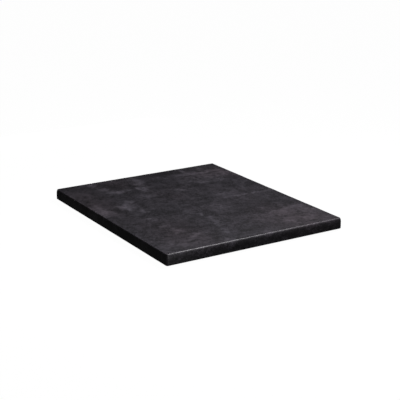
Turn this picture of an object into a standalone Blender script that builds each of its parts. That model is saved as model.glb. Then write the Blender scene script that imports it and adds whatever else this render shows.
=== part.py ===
"""A granite slab for stamping and tooling leather: one honed slab of stone on four rubber feet.

Run it with: blender --background --python part.py
Units are metres, +Z is up, and the origin is on the bench under the middle of the slab.
The front edge faces -Y. Each foot is bonded to the stone by its own adhesive foam pad.
"""

import math

import bmesh
import bpy
from mathutils import Vector

# The stone
SLAB_WIDTH = 0.360  # along X
SLAB_DEPTH = 0.430  # along Y
SLAB_THICKNESS = 0.020
CORNER_RADIUS = 0.0042  # the four upright corners
TOP_ARRIS_IN = 0.0032  # how far the hand-eased upper edge reaches in over the working face
TOP_ARRIS_DOWN = 0.009  # and how far down the sides
BASE_ARRIS = 0.0015  # the rounded edge around the sawn underside

# The feet, turned about their own upright axis
FOOT_DIAMETER = 0.020  # where it is bonded
FOOT_HEIGHT = 0.0035
FOOT_TAPER = math.radians(12)  # how far its side leans in towards the bench
TREAD_ROUNDING = 0.0008  # between its side and its tread
DIMPLE_DIAMETER = 0.005  # the moulding dimple in the middle of the tread
DIMPLE_DEPTH = 0.0004
FOOT_INSET_X = 0.040  # from the slab's side to a foot's centre
FOOT_INSET_Y = 0.040  # from the slab's front or back to a foot's centre

# The adhesive pads
PAD_MARGIN = 0.0008  # how far a pad stops short of its foot's rim
PAD_THICKNESS = 0.0008

JOINT_GAP = 0.0003  # between faces that touch

# How finely round shapes are cut into flats
CORNER_SEGMENTS = 6
TOP_ARRIS_SEGMENTS = 8
ARRIS_SEGMENTS = 4
ROUND_STEPS = 48

# Heights that follow from the sizes above
PAD_BASE = FOOT_HEIGHT + JOINT_GAP
SLAB_BASE = PAD_BASE + PAD_THICKNESS + JOINT_GAP

FOOT_PLACES = {
    "front_left": (-1, -1),
    "front_right": (1, -1),
    "back_left": (-1, 1),
    "back_right": (1, 1),
}


def clear_scene():
    for obj in list(bpy.data.objects):
        bpy.data.objects.remove(obj)


def principled(name, colour, roughness):
    material = bpy.data.materials.new(name)
    material.use_nodes = True
    shader = material.node_tree.nodes["Principled BSDF"]
    shader.inputs["Base Color"].default_value = (*colour, 1)
    shader.inputs["Roughness"].default_value = roughness
    shader.inputs["Metallic"].default_value = 0
    return material


def object_from(mesh, name, material, place):
    mesh.shade_smooth()
    mesh.set_sharp_from_angle(angle=math.radians(30))
    obj = bpy.data.objects.new(name, mesh)
    mesh.materials.clear()
    mesh.materials.append(material)
    obj.location = place
    bpy.context.scene.collection.objects.link(obj)
    return obj


def mesh_from(bm, name):
    bmesh.ops.recalc_face_normals(bm, faces=bm.faces)
    mesh = bpy.data.meshes.new(name)
    bm.to_mesh(mesh)
    bm.free()
    return mesh


def arc(centre, radius, start, end, steps):
    """Points on a circle in a plane, its angles counted from the plane's first direction."""
    angles = [start + (end - start) * i / steps for i in range(steps + 1)]
    return [(centre[0] + radius * math.cos(a), centre[1] + radius * math.sin(a)) for a in angles]


def slab_profile():
    """(how far in, height) from the working face's border, down the side, to the underside's border."""
    quarter = math.pi / 2
    points = []
    for i in range(TOP_ARRIS_SEGMENTS + 1):
        a = quarter * i / TOP_ARRIS_SEGMENTS
        drop = TOP_ARRIS_DOWN * (1 - math.cos(a))
        points.append((TOP_ARRIS_IN * (1 - math.sin(a)), SLAB_THICKNESS - drop))
    for i in range(ARRIS_SEGMENTS + 1):
        a = quarter * i / ARRIS_SEGMENTS
        points.append((BASE_ARRIS * (1 - math.cos(a)), BASE_ARRIS * (1 - math.sin(a))))
    return points


def slab_outline(inset):
    """The slab's outline with its rounded corners, moved in, anticlockwise seen from above."""
    radius = CORNER_RADIUS - inset
    points = []
    for turn, (side_x, side_y) in enumerate(((1, 1), (-1, 1), (-1, -1), (1, -1))):
        x = side_x * (SLAB_WIDTH / 2 - CORNER_RADIUS)
        y = side_y * (SLAB_DEPTH / 2 - CORNER_RADIUS)
        start = turn * math.pi / 2
        points += arc((x, y), radius, start, start + math.pi / 2, CORNER_SEGMENTS)
    return points


def make_slab(material):
    """A block lofted through its outline at each height, from the working face to the underside."""
    bm = bmesh.new()
    rows = [
        [bm.verts.new((x, y, height)) for x, y in slab_outline(inset)]
        for inset, height in slab_profile()
    ]
    for upper, lower in zip(rows, rows[1:]):
        for i in range(len(upper)):
            bm.faces.new((upper[i - 1], lower[i - 1], lower[i], upper[i]))
    bm.faces.new(rows[0])
    bm.faces.new(reversed(rows[-1]))
    mesh = mesh_from(bm, "granite_slab")
    return object_from(mesh, "granite_slab", material, (0, 0, SLAB_BASE))


def turned(profile, name):
    """A closed mesh turned about Z from a profile of (radius, height) that starts and ends on the axis."""
    bm = bmesh.new()
    points = [bm.verts.new((radius, 0, height)) for radius, height in profile]
    edges = [bm.edges.new(pair) for pair in zip(points, points[1:])]
    bmesh.ops.spin(
        bm,
        geom=points + edges,
        cent=(0, 0, 0),
        axis=(0, 0, 1),
        angle=math.tau,
        steps=ROUND_STEPS,
        use_merge=True,
    )
    bmesh.ops.remove_doubles(bm, verts=bm.verts, dist=1e-6)
    return mesh_from(bm, name)


def foot_profile():
    """From the middle of the bonded face, out to the rim, down the leaning side and in over the tread."""
    rim = FOOT_DIAMETER / 2
    # The rounding's centre is its radius above the tread and its radius inside the leaning side.
    lean = math.tan(FOOT_TAPER) * (FOOT_HEIGHT - TREAD_ROUNDING)
    centre = (rim - lean - TREAD_ROUNDING / math.cos(FOOT_TAPER), TREAD_ROUNDING)
    rounding = arc(centre, TREAD_ROUNDING, -FOOT_TAPER, -math.pi / 2, ARRIS_SEGMENTS)
    dimple = DIMPLE_DIAMETER / 2
    return [
        (0, FOOT_HEIGHT),
        (rim, FOOT_HEIGHT),
        *rounding,
        (dimple, 0),
        (dimple - DIMPLE_DEPTH, DIMPLE_DEPTH),
        (0, DIMPLE_DEPTH),
    ]


def pad_profile():
    radius = FOOT_DIAMETER / 2 - PAD_MARGIN
    return [(0, PAD_THICKNESS), (radius, PAD_THICKNESS), (radius, 0), (0, 0)]


def make_feet(rubber, foam):
    """Four feet and the four pads that hold them, in the slab's corners."""
    for where, (side_x, side_y) in FOOT_PLACES.items():
        x = side_x * (SLAB_WIDTH / 2 - FOOT_INSET_X)
        y = side_y * (SLAB_DEPTH / 2 - FOOT_INSET_Y)
        foot = turned(foot_profile(), f"foot_{where}")
        object_from(foot, f"foot_{where}", rubber, Vector((x, y, 0)))
        pad = turned(pad_profile(), f"adhesive_pad_{where}")
        object_from(pad, f"adhesive_pad_{where}", foam, Vector((x, y, PAD_BASE)))


clear_scene()
make_slab(principled("honed_granite", (0.037, 0.036, 0.040), 0.45))
make_feet(
    rubber=principled("black_rubber", (0.018, 0.018, 0.018), 0.75),
    foam=principled("adhesive_foam", (0.045, 0.045, 0.047), 0.9),
)
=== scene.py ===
"""A granite tooling slab on rubber feet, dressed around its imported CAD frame.

The stone, its four feet and their adhesive pads are finer meshes than the CAD solids that they stand
for, at the same sizes and places. Units are metres, +Z is up and the slab's front edge faces -Y.
"""

import math
import random

import bpy
from mathutils import Matrix, Vector, noise
from mathutils.geometry import delaunay_2d_cdt

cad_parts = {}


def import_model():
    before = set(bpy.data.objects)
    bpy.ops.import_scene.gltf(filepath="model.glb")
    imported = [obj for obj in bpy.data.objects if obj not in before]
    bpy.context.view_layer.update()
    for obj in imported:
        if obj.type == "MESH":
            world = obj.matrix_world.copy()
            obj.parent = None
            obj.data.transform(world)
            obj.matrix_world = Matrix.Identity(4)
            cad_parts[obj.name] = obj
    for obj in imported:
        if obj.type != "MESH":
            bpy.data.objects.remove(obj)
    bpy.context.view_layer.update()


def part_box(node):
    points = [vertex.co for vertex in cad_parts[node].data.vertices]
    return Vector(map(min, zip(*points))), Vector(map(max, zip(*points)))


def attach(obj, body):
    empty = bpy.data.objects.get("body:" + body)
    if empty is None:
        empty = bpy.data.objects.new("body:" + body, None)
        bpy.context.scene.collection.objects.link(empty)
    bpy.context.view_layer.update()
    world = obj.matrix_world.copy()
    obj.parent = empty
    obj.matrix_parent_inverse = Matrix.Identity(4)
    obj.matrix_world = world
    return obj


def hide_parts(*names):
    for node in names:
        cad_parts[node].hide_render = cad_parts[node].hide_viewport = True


# The camera stands off the near left corner. It aims a little to the right of and above the middle.
CAMERA_AZIMUTH = math.radians(-31.69)
CAMERA_ELEVATION = math.radians(17.5)
CAMERA_DISTANCE = 1.953
CAMERA_LENS = 94.35  # millimetres
CAMERA_SENSOR = 36  # its width in millimetres
AIM_RIGHT = 0.0135
AIM_UP = 0.0241

# The surroundings
FLOOR_HALF = 8.0  # half the floor's width
FLOOR_GLOW = 0.985  # makes it nearly white, and the shadow on it faint
FLOOR_PAINT = 0.04  # a dark colour under that glow, so that the lights add little to it
WORLD_LIGHT = 0.033  # what the white surroundings shed on the slab; the camera sees them at 1
STRIP_MIDDLE = 0.012  # the two low strip lights, above the bench
STRIP_HEIGHT = 0.018

# The stone's eased edges: how far each reaches in over the face and along the side
TOP_ARRIS_IN = 0.0032
TOP_ARRIS_DOWN = 0.009
BASE_ARRIS = 0.0015
CORNER_RADIUS = 0.0042

# What handwork does to them
ARRIS_VARIATION = 0.2  # the part of the top arris's reach that comes and goes
ARRIS_WAVES = 45  # waves to a metre
EDGE_WANDER = 0.00012  # how far the hand-finished sides and arrises wander inwards
EDGE_WAVES = 14
WAVE_GAIN = 1.6  # spreads the smooth noise over nearly the whole range from 0 to 1

# Tiny chips in the top arris
CHIPS = 16
CHIP_RADIUS = (0.0007, 0.0013)
CHIP_IN = 0.0008  # from the side to a chip's middle
CHIP_DOWN = 0.0013  # and from the honed face
CHIP_DEPTH = 0.35  # as a share of its radius
CHIP_FALL = 0.6  # how far a chip pushes the stone down for each step inwards
CHIP_REACH = 0.003  # no chip touches the rim further away than this

# The saw's marks in the underside: close fine ones, and deep ones where their wave is high
SAW_DEPTH = 0.00022  # the deepest mark
SAW_FINE_WAVES = 420
SAW_FINE_SHARE = 0.45
SAW_DEEP_WAVES = 60
SAW_DEEP_FROM = 0.72
SAW_DRIFT = 0.004  # how far the fine marks bend from straight
SAW_DRIFT_WAVES = 9
SAW_FADE = 0.4  # how much of the depth comes and goes over the plan
SAW_FADE_WAVES = 12
SAW_ROWS = (0.3, 0.7)  # where in the smooth noise the fine and the deep marks are taken from

# How finely the stone is cut into flats
ARRIS_STEPS = 12
SIDE_STEPS = 5
CORNER_STEPS = 10
RIM_SPACING = 0.0011  # between the rim's columns of points
FLAT_BORDER = 0.0006  # a narrow flat band that keeps the faces' shading flat
TOP_SPACING = (0.012, 0.012)  # between points inside the honed face, across and along
SAW_SPACING = (0.0015, 0.020)  # and inside the sawn one, whose marks run along it
SAME_POINT = 1e-7  # points closer than this are one

# The feet and pads, as the CAD has them
TAPER = math.radians(12)
TREAD_ROUNDING = 0.0008
DIMPLE_RADIUS = 0.0025
DIMPLE_DEPTH = 0.0004

# Their finer shapes
FLANGE_HEIGHT = 0.0006  # the moulded flange around the bonded face
FLANGE_BEVEL = 0.0002
FLANGE_STEP = 0.0004  # from its rim in to the side
FLANGE_EASING = 0.0001  # softens the angle between its underside and the side
SIDE_START = 0.0003  # where the side leans in straight, below the flange
RINGS = (0.78, 0.60, 0.44)  # the grooves in the tread, as shares of its radius
RING_OUT = 0.0006  # and this much further out
RING_MOUTH = 0.0004  # half a groove's width at the tread
RING_FLOOR = 0.0002  # and at its floor
RING_DEPTH = 0.00015
NUB = (0.0006, 0.0004, 0.0002)  # in the dimple: its radius at the root and at the tip, and its height
PAD_WAIST = 0.00018  # how far a pad's edge draws in
ROUND_STEPS = 96
TREAD_STEPS = 8
PAD_STEPS = 6
SHARP_ANGLE = math.radians(40)

STONE_SEED = 11  # for the chips' places and for all the waves

# The places of the three finishes among the stone's materials
HONED, SEALED, SAWN = range(3)

# Mist and dark clouds in the stone, in millimetres from the middle of its face: across, along,
# half its width, half its length, and the paleness that it adds, below 0 where it darkens
CLOUDS = (
    (-112, 196, 14, 12, 0.90),
    (-104, 162, 12, 22, 0.70),
    (-94, 134, 17, 14, 0.85),
    (-72, 135, 24, 10, 0.60),
    (-20, 188, 11, 20, 0.75),
    (-23, 160, 13, 17, 0.80),
    (-36, 128, 11, 24, 0.70),
    (-52, 82, 24, 15, 0.55),
    (90, 192, 7, 20, 0.55),
    (131, 193, 8, 20, 0.50),
    (112, 166, 84, 12, 0.60),
    (162, 144, 16, 18, 0.55),
    (118, 136, 84, 46, 0.30),
    (86, 107, 17, 13, 0.60),
    (126, 107, 14, 13, 0.60),
    (-117, 38, 18, 29, 1.20),
    (-168, 44, 19, 42, 1.00),
    (-99, 60, 12, 18, 0.75),
    (-100, 2, 12, 14, 0.55),
    (-112, -43, 13, 10, 0.75),
    (-24, -70, 8, 15, 0.55),
    (23, 84, 12, 18, 0.50),
    (30, -52, 20, 30, 0.35),
    (80, 22, 34, 20, 0.30),
    (108, -7, 84, 11, 0.38),
    (-83, 170, 24, 44, -0.20),
    (-50, 156, 20, 14, -0.16),
    (-160, 150, 34, 66, 0.16),
    (158, 106, 16, 17, -0.20),
    (68, 86, 20, 34, -0.17),
    (54, 196, 64, 22, -0.22),
    (29, 114, 34, 20, -0.14),
    (-138, 30, 9, 18, -0.24),
    (-14, 66, 28, 20, -0.15),
    (32, 12, 16, 13, -0.16),
    (-62, -26, 30, 12, -0.13),
    (0, -64, 15, 26, -0.15),
    (168, 34, 18, 28, -0.14),
    (-132, -186, 66, 38, 0.32),
    (118, -78, 84, 60, -0.16),
)
ECHO_STEP = 288  # the clouds at the back come again this far towards the front
ECHO_SHARE = 0.6  # and that much fainter
FRONT_EDGE = -215  # echoes past the slab's front edge are left out
MM_PER_METRE = 1000
# Where the stone turns from a cool to a warm, slightly pink grey, in the same terms
WARMTH = (
    (120, -160, 100, 100, 1.0),
    (150, 150, 90, 60, 0.9),
    (-110, -130, 70, 120, 0.8),
    (-160, 90, 50, 130, 0.8),
    (-70, 180, 60, 60, 0.6),
    (-10, 60, 40, 60, 0.4),
)

# The stone's colours: its darkest and palest, and the tints of its warm and cool parts
DARK_STONE = (0.0110, 0.0100, 0.0122)
PALE_STONE = (0.1180, 0.1090, 0.1260)
WARM_TINT = (1.08, 0.965, 1.00)
COOL_TINT = (0.985, 0.98, 1.035)

# Scales of the stone's patterns, in waves or cells to a metre
BROAD_SCALE = 13.0
MOTTLE_SCALE = 48.0
WISP_SCALE = 120.0
SWELL_SCALE = 90.0
FLECK_SCALE = 260.0
CRYSTAL_SCALE = 620.0

# What pushes the patterns out of regular shape: a scale, and a distance in metres
CLOUD_PUSH = (42.0, 0.036)
BROAD_PUSH = (9.0, 0.03)
WARMTH_PUSH = (9.0, 0.06)
CRYSTAL_PUSH = (900.0, 0.0008)

# How much each pattern adds to the stone's paleness
BROAD_SHARE = 0.08
MOTTLE_SHARE = 0.62
WISP_SHARE = 0.28
CRYSTAL_SHARE = 0.34
FLECK_SHARE = 0.30
LEVELLING = 0.45  # how strongly the palest places level off

# The stretches of a noise's values that are spread over a whole range
WIDE = (0.25, 0.75)
MIDDLE = (0.3, 0.7)
NARROW = (0.34, 0.66)

# How wisps and mottling break up the clouds
WISP_GAIN = (0.25, 1.75)
MOTTLE_GAIN = (0.5, 1.5)

# Flecks and glints are in the few cells whose own random number is this high
FLECKED = (0.92, 0.94)
FLECK_RIM = (0.30, 0.20)  # a fleck fades out between these shares of a cell from its middle
GLINTING = (0.94, 0.96)
GLINT_GLOSS = -0.07  # what a glint does to the roughness
GLOSS_SWING = 0.05  # how far the mottling moves the roughness either way
BROAD_WARMTH = 0.3  # how much the broad pattern adds to the stone's warmth

# A painted highlight on the top arris and the upright corners: how much paler it makes dark and pale
# mottling, and where it starts and is full
HIGHLIGHT_SHADE = (0.22, 0.34)
HIGHLIGHT_DOWN = (0.0030, 0.0004)  # below the honed face
HIGHLIGHT_IN = (0.0045, 0.0010)  # in from the sides, at the upright corners

# The rubber and the foam
BLACK_RUBBER = (0.018, 0.018, 0.018)
BLOOMED_RUBBER = (0.038, 0.038, 0.039)
BLOOM_SCALE = 260.0
RUBBER_ROUGHNESS = (0.62, 0.8)
GRAIN_SCALE = 2600.0
GRAIN_HEIGHT = 0.00004
# The colour of a foam cell's hollow is painted shade, darker than its walls.
FOAM_SHADED_HOLLOW = (0.02, 0.02, 0.021)
FOAM_WALL = (0.07, 0.07, 0.072)
FOAM_ROUGHNESS = 0.9
FOAM_CELL_SCALE = 3200.0
FOAM_CELL_DEPTH = 0.00006


# ---------------------------------------------------------------- shader nodes


class Nodes:
    """A material's node tree, with short calls for the nodes that the surfaces here use."""

    def __init__(self, name):
        self.material = bpy.data.materials.new(name)
        self.material.use_nodes = True
        self.tree = self.material.node_tree
        self.shader = self.tree.nodes["Principled BSDF"]
        self.place = self.add("ShaderNodeTexCoord").outputs["Object"]

    def add(self, kind, **settings):
        node = self.tree.nodes.new(kind)
        for key, value in settings.items():
            setattr(node, key, value)
        return node

    def feed(self, socket, value):
        """Links an output to the socket, or sets the socket to a plain value."""
        if isinstance(value, bpy.types.NodeSocket):
            self.tree.links.new(value, socket)
        else:
            socket.default_value = value

    def math(self, operation, *values, clamp=False):
        node = self.add("ShaderNodeMath", operation=operation, use_clamp=clamp)
        for socket, value in zip(node.inputs, values):
            self.feed(socket, value)
        return node.outputs[0]

    def noise(self, place, scale, detail=2.0, roughness=0.5):
        """A noise node's outputs: one smooth number, and three of them as a colour."""
        node = self.add("ShaderNodeTexNoise")
        self.feed(node.inputs["Vector"], place)
        for key, value in (("Scale", scale), ("Detail", detail), ("Roughness", roughness)):
            node.inputs[key].default_value = value
        return node.outputs["Fac"], node.outputs["Color"]

    def remap(self, value, source, target=(0.0, 1.0)):
        """The value, moved from one range to another and held inside it."""
        node = self.add("ShaderNodeMapRange", clamp=True)
        self.feed(node.inputs["Value"], value)
        for key, number in zip(("From Min", "From Max", "To Min", "To Max"), (*source, *target)):
            node.inputs[key].default_value = number
        return node.outputs["Result"]

    def cells(self, place, scale):
        """A cell pattern: the distance to each cell's middle, and three random numbers for each cell."""
        node = self.add("ShaderNodeTexVoronoi", feature="F1")
        self.feed(node.inputs["Vector"], place)
        node.inputs["Scale"].default_value = scale
        numbers = self.add("ShaderNodeSeparateColor")
        self.feed(numbers.inputs[0], node.outputs["Color"])
        return node.outputs["Distance"], numbers.outputs

    def warped(self, scale, amount, detail=3.0):
        """The place, pushed about by a smooth noise of that scale by up to half the amount."""
        _, push = self.noise(self.place, scale, detail=detail)
        centred = self.add("ShaderNodeVectorMath", operation="SUBTRACT")
        self.feed(centred.inputs[0], push)
        centred.inputs[1].default_value = (0.5, 0.5, 0.5)
        moved = self.add("ShaderNodeVectorMath", operation="MULTIPLY_ADD")
        self.feed(moved.inputs[0], centred.outputs[0])
        moved.inputs[1].default_value = (amount, amount, amount)
        self.feed(moved.inputs[2], self.place)
        return moved.outputs[0]

    def mix(self, factor, a, b, blend="MIX"):
        node = self.add("ShaderNodeMix", data_type="RGBA", blend_type=blend, clamp_factor=True)
        self.feed(node.inputs[0], factor)
        # The node's sockets for colours come after those for numbers and vectors.
        for socket, colour in ((node.inputs[6], a), (node.inputs[7], b)):
            self.feed(socket, colour if isinstance(colour, bpy.types.NodeSocket) else (*colour, 1))
        return node.outputs[2]

    def bump(self, height, distance):
        """A normal from the height, which is in units of the distance."""
        node = self.add("ShaderNodeBump")
        node.inputs["Distance"].default_value = distance
        self.feed(node.inputs["Height"], height)
        return node.outputs[0]


# ---------------------------------------------------------------- materials


def hills(n, place, rows, echo_share=0.0):
    """The sum of soft round hills over the stone's plan, some repeated nearer the front."""
    total = 0.0
    for x, y, half_width, half_length, strength in rows:
        for nearer, share in ((0, 1.0), (ECHO_STEP, echo_share)):
            if not share or y - nearer < FRONT_EDGE:
                continue
            where = n.add("ShaderNodeMapping", vector_type="TEXTURE")
            n.feed(where.inputs["Vector"], place)
            middle = (x / MM_PER_METRE, (y - nearer) / MM_PER_METRE, 0)
            where.inputs["Location"].default_value = middle
            halves = (half_width / MM_PER_METRE, half_length / MM_PER_METRE, 1)
            where.inputs["Scale"].default_value = halves
            hill = n.add("ShaderNodeTexGradient", gradient_type="SPHERICAL")
            n.feed(hill.inputs["Vector"], where.outputs["Vector"])
            total = n.math("MULTIPLY_ADD", hill.outputs["Fac"], strength * share, total)
    return total


def stone_patterns(n):
    """The stone's patterns by name, each a number at every place. The crystals have three numbers."""
    place = n.warped(*CLOUD_PUSH, detail=6.0)
    fine_place = n.warped(*CRYSTAL_PUSH)
    broad, _ = n.noise(n.warped(*BROAD_PUSH), BROAD_SCALE, detail=3.0)
    mottle, _ = n.noise(place, MOTTLE_SCALE, detail=8.0, roughness=0.66)
    wisp, _ = n.noise(n.place, WISP_SCALE, detail=5.0, roughness=0.6)
    _, crystals = n.cells(fine_place, CRYSTAL_SCALE)
    near, fleck = n.cells(fine_place, FLECK_SCALE)
    return {
        "clouds": hills(n, place, CLOUDS, ECHO_SHARE),
        "broad": n.remap(broad, MIDDLE),
        "mottle": mottle,
        "wisp": wisp,
        "crystals": crystals,
        "flecks": n.math("MULTIPLY", n.remap(near, FLECK_RIM), n.remap(fleck[0], FLECKED)),
    }


def stone_shade(n, stone, dark):
    """How far each place is from the darkest stone towards the palest. dark is taken off everywhere."""
    wisp, mottle = stone["wisp"], stone["mottle"]
    ragged = n.math("MULTIPLY", n.remap(wisp, NARROW, WISP_GAIN), n.remap(mottle, MIDDLE, MOTTLE_GAIN))
    shade = n.math("MULTIPLY", stone["clouds"], ragged)
    for pattern, share in (
        (stone["broad"], BROAD_SHARE),
        (n.remap(mottle, WIDE), MOTTLE_SHARE),
        (n.remap(wisp, WIDE), WISP_SHARE),
        (stone["crystals"][0], CRYSTAL_SHARE),
        (stone["flecks"], FLECK_SHARE),
    ):
        shade = n.math("MULTIPLY_ADD", pattern, share, shade)
    shade = n.math("MAXIMUM", n.math("SUBTRACT", shade, dark), 0.0)
    return n.math("DIVIDE", shade, n.math("MULTIPLY_ADD", shade, LEVELLING, 1.0))


def highlight_mask(n):
    """Where the painted highlight lies: 1 on the arris around the honed face and on the upright corners,
    falling to 0 on the sides.
    """
    _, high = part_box("granite_slab")
    parts = n.add("ShaderNodeSeparateXYZ")
    n.feed(parts.inputs[0], n.place)
    x, y, z = parts.outputs
    rim = n.remap(z, [high.z - down for down in HIGHLIGHT_DOWN])
    side = n.remap(n.math("ABSOLUTE", x), [high.x - inset for inset in HIGHLIGHT_IN])
    end = n.remap(n.math("ABSOLUTE", y), [high.y - inset for inset in HIGHLIGHT_IN])
    return n.math("MAXIMUM", rim, n.math("MULTIPLY", side, end))


def granite(
    name,
    tone=1.0,
    dark=0.46,
    roughness=0.5,
    specular=0.5,
    relief=0.00002,
    ripple=0.0,
    painted_highlight=False,
):
    """Dark charcoal stone with mist, dark clouds, fine crystals and a few pale flecks.

    tone multiplies its colour, and dark is taken off its paleness. relief is how much the crystals
    differ in height, and ripple is the height of a broader swell, both in metres. An edge that takes
    the painted highlight is paler towards the honed face and down the slab's upright corners.
    """
    n = Nodes(name)
    stone = stone_patterns(n)
    mottle, crystals = stone["mottle"], stone["crystals"]
    shade = stone_shade(n, stone, dark)
    if painted_highlight:
        # Painted highlight: the top arris and the upright corners are made paler than the stone.
        shade = n.math("MULTIPLY_ADD", highlight_mask(n), n.remap(mottle, MIDDLE, HIGHLIGHT_SHADE), shade, clamp=True)
    colour = n.mix(shade, DARK_STONE, PALE_STONE)
    warm_places = hills(n, n.warped(*WARMTH_PUSH), WARMTH)
    warmth = n.math("MULTIPLY_ADD", stone["broad"], BROAD_WARMTH, warm_places)
    colour = n.mix(1.0, colour, n.mix(warmth, COOL_TINT, WARM_TINT), blend="MULTIPLY")
    if tone != 1.0:
        colour = n.mix(1.0, colour, (tone, tone, tone), blend="MULTIPLY")
    n.feed(n.shader.inputs["Base Color"], colour)
    glint = n.remap(crystals[2], GLINTING, (0.0, GLINT_GLOSS))
    gloss = n.remap(mottle, MIDDLE, (roughness + GLOSS_SWING, roughness - GLOSS_SWING))
    n.feed(n.shader.inputs["Roughness"], n.math("ADD", gloss, glint))
    n.shader.inputs["Specular IOR Level"].default_value = specular
    swell, _ = n.noise(n.place, SWELL_SCALE)
    height = n.math("MULTIPLY_ADD", swell, ripple, n.math("MULTIPLY", crystals[1], relief))
    n.feed(n.shader.inputs["Normal"], n.bump(height, 1.0))
    return n.material


def rubber():
    """Black rubber with a faint grey bloom and a fine moulded grain."""
    n = Nodes("black_rubber")
    bloom, _ = n.noise(n.place, BLOOM_SCALE, detail=4.0)
    grain, _ = n.noise(n.place, GRAIN_SCALE)
    n.feed(n.shader.inputs["Base Color"], n.mix(bloom, BLACK_RUBBER, BLOOMED_RUBBER))
    n.feed(n.shader.inputs["Roughness"], n.remap(bloom, MIDDLE, RUBBER_ROUGHNESS))
    n.feed(n.shader.inputs["Normal"], n.bump(grain, GRAIN_HEIGHT))
    return n.material


def foam():
    """Dark foam with fine cells, higher and paler at their walls, with painted shade darkening each
    cell's hollow.
    """
    n = Nodes("adhesive_foam")
    wall, _ = n.cells(n.place, FOAM_CELL_SCALE)
    # Painted shade: each cell's hollow is darker than its walls.
    n.feed(n.shader.inputs["Base Color"], n.mix(wall, FOAM_SHADED_HOLLOW, FOAM_WALL))
    n.shader.inputs["Roughness"].default_value = FOAM_ROUGHNESS
    n.feed(n.shader.inputs["Normal"], n.bump(wall, FOAM_CELL_DEPTH))
    return n.material


# ---------------------------------------------------------------- meshes


def object_from(name, points, faces, materials, slots=None):
    mesh = bpy.data.meshes.new(name)
    mesh.from_pydata(points, [], faces)
    for material in materials:
        mesh.materials.append(material)
    if slots:
        mesh.polygons.foreach_set("material_index", slots)
    mesh.shade_smooth()
    mesh.validate()
    obj = bpy.data.objects.new(name, mesh)
    bpy.context.scene.collection.objects.link(obj)
    return obj


def rim_columns(width, depth):
    """Points (place, outward direction) around the slab's outline, anticlockwise seen from above."""
    found = []
    for turn in range(4):
        along = width if turn % 2 == 0 else depth
        across = depth if turn % 2 == 0 else width
        turned_by = Matrix.Rotation(turn * math.pi / 2, 2)
        straight = along - 2 * CORNER_RADIUS
        count = round(straight / RIM_SPACING)
        for i in range(count):
            place = Vector((-straight / 2 + straight * i / count, -across / 2))
            found.append((turned_by @ place, turned_by @ Vector((0, -1))))
        centre = Vector((straight / 2, -across / 2 + CORNER_RADIUS))
        for i in range(CORNER_STEPS):
            angle = math.pi / 2 * i / CORNER_STEPS - math.pi / 2
            out = Vector((math.cos(angle), math.sin(angle)))
            found.append((turned_by @ (centre + out * CORNER_RADIUS), turned_by @ out))
    return found


def rim_profile(base, top, arris_in):
    """(how far in, height) from the honed face's border, over the arris, down the side and under."""
    quarter = [math.pi / 2 * i / ARRIS_STEPS for i in range(ARRIS_STEPS + 1)]
    points = [(arris_in + FLAT_BORDER, top)]
    for a in quarter:
        points.append((arris_in * (1 - math.sin(a)), top - TOP_ARRIS_DOWN * (1 - math.cos(a))))
    side_top = top - TOP_ARRIS_DOWN
    side_base = base + BASE_ARRIS
    for i in range(1, SIDE_STEPS):
        points.append((0, side_top + (side_base - side_top) * i / SIDE_STEPS))
    for a in quarter:
        points.append((BASE_ARRIS * (1 - math.cos(a)), base + BASE_ARRIS * (1 - math.sin(a))))
    points.append((BASE_ARRIS + FLAT_BORDER, base))
    return points


def wave(x, y, scale):
    """A smooth number from 0 to 1 that wanders over the plan."""
    wander = WAVE_GAIN * noise.noise(Vector((x * scale, y * scale, STONE_SEED)))
    return 0.5 + 0.5 * max(-1, min(1, wander))


def chip_places(columns, top):
    """(middle, radius) of each tiny chip in the top arris."""
    draw = random.Random(STONE_SEED)
    found = []
    for _ in range(CHIPS):
        place, out = columns[draw.randrange(len(columns))]
        radius = draw.uniform(*CHIP_RADIUS)
        middle = place - out * CHIP_IN
        found.append((Vector((middle.x, middle.y, top - CHIP_DOWN)), radius))
    return found


def chipped(point, out, chips):
    """The point, pushed into the stone where a chip has taken some of it."""
    for middle, radius in chips:
        away = (point - middle).length / radius
        if away < 1:
            depth = CHIP_DEPTH * radius * (1 - away * away)
            return point - Vector((out.x, out.y, CHIP_FALL)) * depth
    return point


def rim_points(columns, low, high):
    """The rim's points, row by row, each row once around the slab."""
    chips = chip_places(columns, high.z)
    rims = []
    for place, out in columns:
        wander = EDGE_WANDER * wave(place.x, place.y, EDGE_WAVES)
        varied = ARRIS_VARIATION * wave(place.x, place.y, ARRIS_WAVES)
        arris_in = TOP_ARRIS_IN * (1 - ARRIS_VARIATION + varied)
        close = [chip for chip in chips if (chip[0].xy - place).length < CHIP_REACH]
        rim = []
        for inset, height in rim_profile(low.z, high.z, arris_in):
            inner = place - out * (inset + wander)
            rim.append(chipped(Vector((inner.x, inner.y, height)), out, close))
        rims.append(rim)
    return [point for row in zip(*rims) for point in row]


def saw_relief(x, y):
    """How deep the saw has marked the underside: close straight marks with a few deeper ones."""
    fine_row, deep_row = SAW_ROWS
    fine = wave(x + SAW_DRIFT * wave(0, y, SAW_DRIFT_WAVES), fine_row, SAW_FINE_WAVES)
    deep = max(0.0, wave(x, deep_row, SAW_DEEP_WAVES) - SAW_DEEP_FROM) / (1 - SAW_DEEP_FROM)
    mark = SAW_FINE_SHARE * fine + (1 - SAW_FINE_SHARE) * deep
    return SAW_DEPTH * mark * (1 - SAW_FADE + SAW_FADE * wave(x, y, SAW_FADE_WAVES))


def filled(border, spacing):
    """Triangles over a flat outline, with points inside it at that spacing across and along."""
    low = Vector(map(min, zip(*border)))
    high = Vector(map(max, zip(*border)))
    counts = [max(2, round(size / space)) for size, space in zip(high - low, spacing)]
    inside = [
        Vector((low.x + (high.x - low.x) * i / counts[0], low.y + (high.y - low.y) * j / counts[1]))
        for i in range(1, counts[0])
        for j in range(1, counts[1])
    ]
    ring = [(i, (i + 1) % len(border)) for i in range(len(border))]
    points, _, faces, *_ = delaunay_2d_cdt(border + inside, ring, [], 1, SAME_POINT)
    return points, faces


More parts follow.
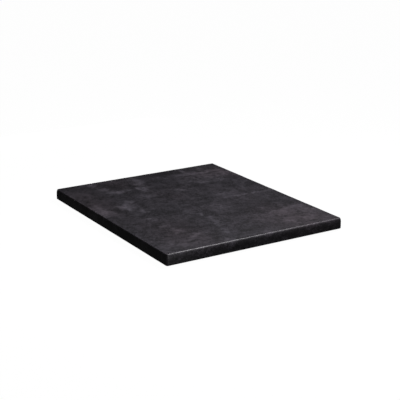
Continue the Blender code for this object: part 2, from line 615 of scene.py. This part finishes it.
def stone_mesh(low, high):
    """The points and faces of the whole stone, and which finish each face has."""
    columns = rim_columns(high.x - low.x, high.y - low.y)
    points = rim_points(columns, low, high)
    faces, finishes = [], []
    around = len(columns)
    last = len(points) // around - 1
    for row in range(last):
        a, b = row * around, (row + 1) * around
        for i in range(around):
            j = (i + 1) % around
            faces.append((a + i, b + i, b + j, a + j))
            finishes.append(HONED if row == 0 else SEALED)
    for row, spacing, finish in ((0, TOP_SPACING, HONED), (last, SAW_SPACING, SAWN)):
        rim = points[row * around : (row + 1) * around]
        more, triangles = filled([point.xy for point in rim], spacing)
        start = len(points)
        numbers = list(range(row * around, (row + 1) * around))
        numbers += range(start, start + len(more) - around)
        for p in more[around:]:
            lift = saw_relief(p.x, p.y) if finish == SAWN else 0
            points.append(Vector((p.x, p.y, rim[0].z + lift)))
        for face in triangles:
            a, b, c = (more[i] for i in face)
            upward = (b - a).cross(c - a) > 0
            face = [numbers[i] for i in face]
            faces.append(face if upward == (finish == HONED) else face[::-1])
            finishes.append(finish)
    return points, faces, finishes


def make_stone():
    points, faces, finishes = stone_mesh(*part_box("granite_slab"))
    honed = granite("honed_granite")
    # The sealed edges take the painted highlight along the top arris and down the upright corners.
    sealed = granite(
        "sealed_granite_edge",
        tone=1.4,
        dark=0.66,
        roughness=0.47,
        specular=0.72,
        relief=0.000002,
        ripple=0.0010,
        painted_highlight=True,
    )
    sawn = granite("sawn_granite", tone=1.9, roughness=0.85, specular=0.3, relief=0.0001)
    stone = object_from("granite_stone", points, faces, [honed, sealed, sawn], finishes)
    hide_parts("granite_slab")
    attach(stone, "root")


def turned(name, profile, middle, material):
    """A piece turned about an upright axis, from (radius, height) points that start and end on it."""
    points = [Vector((middle.x, middle.y, height)) for _, height in (profile[0], profile[-1])]
    starts = []
    for radius, height in profile[1:-1]:
        starts.append(len(points))
        for i in range(ROUND_STEPS):
            a = math.tau * i / ROUND_STEPS
            x, y = middle.x + radius * math.cos(a), middle.y + radius * math.sin(a)
            points.append(Vector((x, y, height)))
    faces = []
    for i in range(ROUND_STEPS):
        j = (i + 1) % ROUND_STEPS
        faces.append((0, starts[0] + i, starts[0] + j))
        faces.append((1, starts[-1] + j, starts[-1] + i))
        for a, b in zip(starts, starts[1:]):
            faces.append((a + i, b + i, b + j, a + j))
    obj = object_from(name, points, faces, [material])
    obj.data.set_sharp_from_angle(angle=SHARP_ANGLE)
    return obj


def foot_profile(rim, base, top):
    """From the bonded face's middle, out to its flange, down the leaning side, and in over the tread."""
    lean = math.tan(TAPER) * (top - base - TREAD_ROUNDING)
    inner = rim - lean - TREAD_ROUNDING / math.cos(TAPER)
    points = [(0, top), (rim * 0.5, top), (rim - FLANGE_BEVEL, top), (rim, top - FLANGE_BEVEL)]
    points.append((rim, top - FLANGE_HEIGHT))
    side = rim - FLANGE_STEP
    points.append((side, top - FLANGE_HEIGHT - FLANGE_EASING))
    points.append((side - math.tan(TAPER) * FLANGE_EASING, top - FLANGE_HEIGHT - SIDE_START))
    for i in range(TREAD_STEPS + 1):
        a = -TAPER + (-math.pi / 2 + TAPER) * i / TREAD_STEPS
        points.append((inner + TREAD_ROUNDING * math.cos(a), base + TREAD_ROUNDING * (1 + math.sin(a))))
    for ring in RINGS:
        middle = inner * ring + RING_OUT
        points += [(middle + RING_MOUTH, base), (middle + RING_FLOOR, base + RING_DEPTH)]
        points += [(middle - RING_FLOOR, base + RING_DEPTH), (middle - RING_MOUTH, base)]
    points += [(DIMPLE_RADIUS, base), (DIMPLE_RADIUS - DIMPLE_DEPTH, base + DIMPLE_DEPTH)]
    root, tip, height = NUB
    points += [(root, base + DIMPLE_DEPTH), (tip, base + DIMPLE_DEPTH - height)]
    points.append((0, base + DIMPLE_DEPTH - height))
    return points


def pad_profile(rim, base, top):
    """A die-cut disc of foam whose edge draws in a little at half its height."""
    points = [(0, top), (rim * 0.5, top), (rim, top)]
    for i in range(1, PAD_STEPS):
        t = i / PAD_STEPS
        points.append((rim - PAD_WAIST * math.sin(math.pi * t), top + (base - top) * t))
    return [*points, (rim, base), (rim * 0.5, base), (0, base)]


def make_feet():
    kinds = (
        ("foot", foot_profile, rubber(), "foot_rubber"),
        ("adhesive_pad", pad_profile, foam(), "adhesive_foam"),
    )
    for where in ("front_left", "front_right", "back_left", "back_right"):
        for kind, profile, material, slot in kinds:
            node = f"{kind}_{where}"
            low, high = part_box(node)
            rim = (high.x - low.x) / 2
            piece = turned(f"moulded_{node}", profile(rim, low.z, high.z), (low + high) / 2, material)
            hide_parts(node)
            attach(piece, "root")


# ---------------------------------------------------------------- studio


def floor():
    material = bpy.data.materials.new("pale_floor")
    material.use_nodes = True
    shader = material.node_tree.nodes["Principled BSDF"]
    shader.inputs["Base Color"].default_value = (FLOOR_PAINT, FLOOR_PAINT, FLOOR_PAINT, 1)
    shader.inputs["Roughness"].default_value = 1.0
    shader.inputs["Specular IOR Level"].default_value = 0
    shader.inputs["Emission Color"].default_value = (1, 1, 1, 1)
    shader.inputs["Emission Strength"].default_value = FLOOR_GLOW
    half = FLOOR_HALF
    corners = [(-half, -half, 0), (half, -half, 0), (half, half, 0), (-half, half, 0)]
    obj = object_from("floor", corners, [(0, 1, 2, 3)], [material])
    # It is there for the camera, and doesn't light the stone or show in it.
    obj.visible_diffuse = False
    obj.visible_glossy = False


def area_light(name, place, aim, size, power, height=None):
    """A round light, or one of that width and height, which the camera doesn't see."""
    data = bpy.data.lights.new(name, "AREA")
    data.shape = "RECTANGLE" if height else "DISK"
    data.size = size
    if height:
        data.size_y = height
    data.energy = power
    obj = bpy.data.objects.new(name, data)
    obj.location = place
    obj.rotation_euler = (Vector(aim) - Vector(place)).to_track_quat("-Z", "Y").to_euler()
    obj.visible_camera = False
    bpy.context.scene.collection.objects.link(obj)


def lights():
    """A soft key from the front right, and two strips.

    The strips stay lower than the honed face, so that they light only the slab's sides.
    Each strip's row has its place and its aim in plan, its width and its power.
    """
    area_light("key", place=(0.26, -0.315, 0.77), aim=(0, 0, 0), size=0.35, power=7.6)
    strips = (
        ("corner_strip", (-0.165, -0.325), (-0.165, -0.215), 0.06, 0.012),
        ("back_strip", (0.05, 0.75), (0.05, 0.215), 0.5, 0.9),
    )
    for name, place, aim, width, power in strips:
        area_light(name, (*place, STRIP_MIDDLE), (*aim, STRIP_MIDDLE), width, power, height=STRIP_HEIGHT)


def world():
    made = bpy.data.worlds.new("studio")
    bpy.context.scene.world = made
    made.use_nodes = True
    tree = made.node_tree
    back = tree.nodes["Background"]
    path = tree.nodes.new("ShaderNodeLightPath")
    level = tree.nodes.new("ShaderNodeMapRange")
    tree.links.new(path.outputs["Is Camera Ray"], level.inputs["Value"])
    level.inputs["To Min"].default_value = WORLD_LIGHT
    level.inputs["To Max"].default_value = 1.0
    tree.links.new(level.outputs["Result"], back.inputs["Strength"])
    back.inputs["Color"].default_value = (1, 1, 1, 1)


def camera():
    back = Vector((
        math.sin(CAMERA_AZIMUTH) * math.cos(CAMERA_ELEVATION),
        -math.cos(CAMERA_AZIMUTH) * math.cos(CAMERA_ELEVATION),
        math.sin(CAMERA_ELEVATION),
    ))
    right = Vector((0, 0, 1)).cross(back).normalized()
    up = back.cross(right)
    slab_base = Vector((0, 0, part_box("granite_slab")[0].z))
    aim = slab_base + right * AIM_RIGHT + up * AIM_UP
    data = bpy.data.cameras.new("camera")
    data.lens = CAMERA_LENS
    data.sensor_width = CAMERA_SENSOR
    obj = bpy.data.objects.new("camera", data)
    obj.location = aim + back * CAMERA_DISTANCE
    obj.rotation_euler = (-back).to_track_quat("-Z", "Y").to_euler()
    bpy.context.scene.collection.objects.link(obj)
    bpy.context.scene.camera = obj


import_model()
camera()
world()
floor()
lights()
make_stone()
make_feet()

bpy.context.scene.view_settings.view_transform = "Standard"
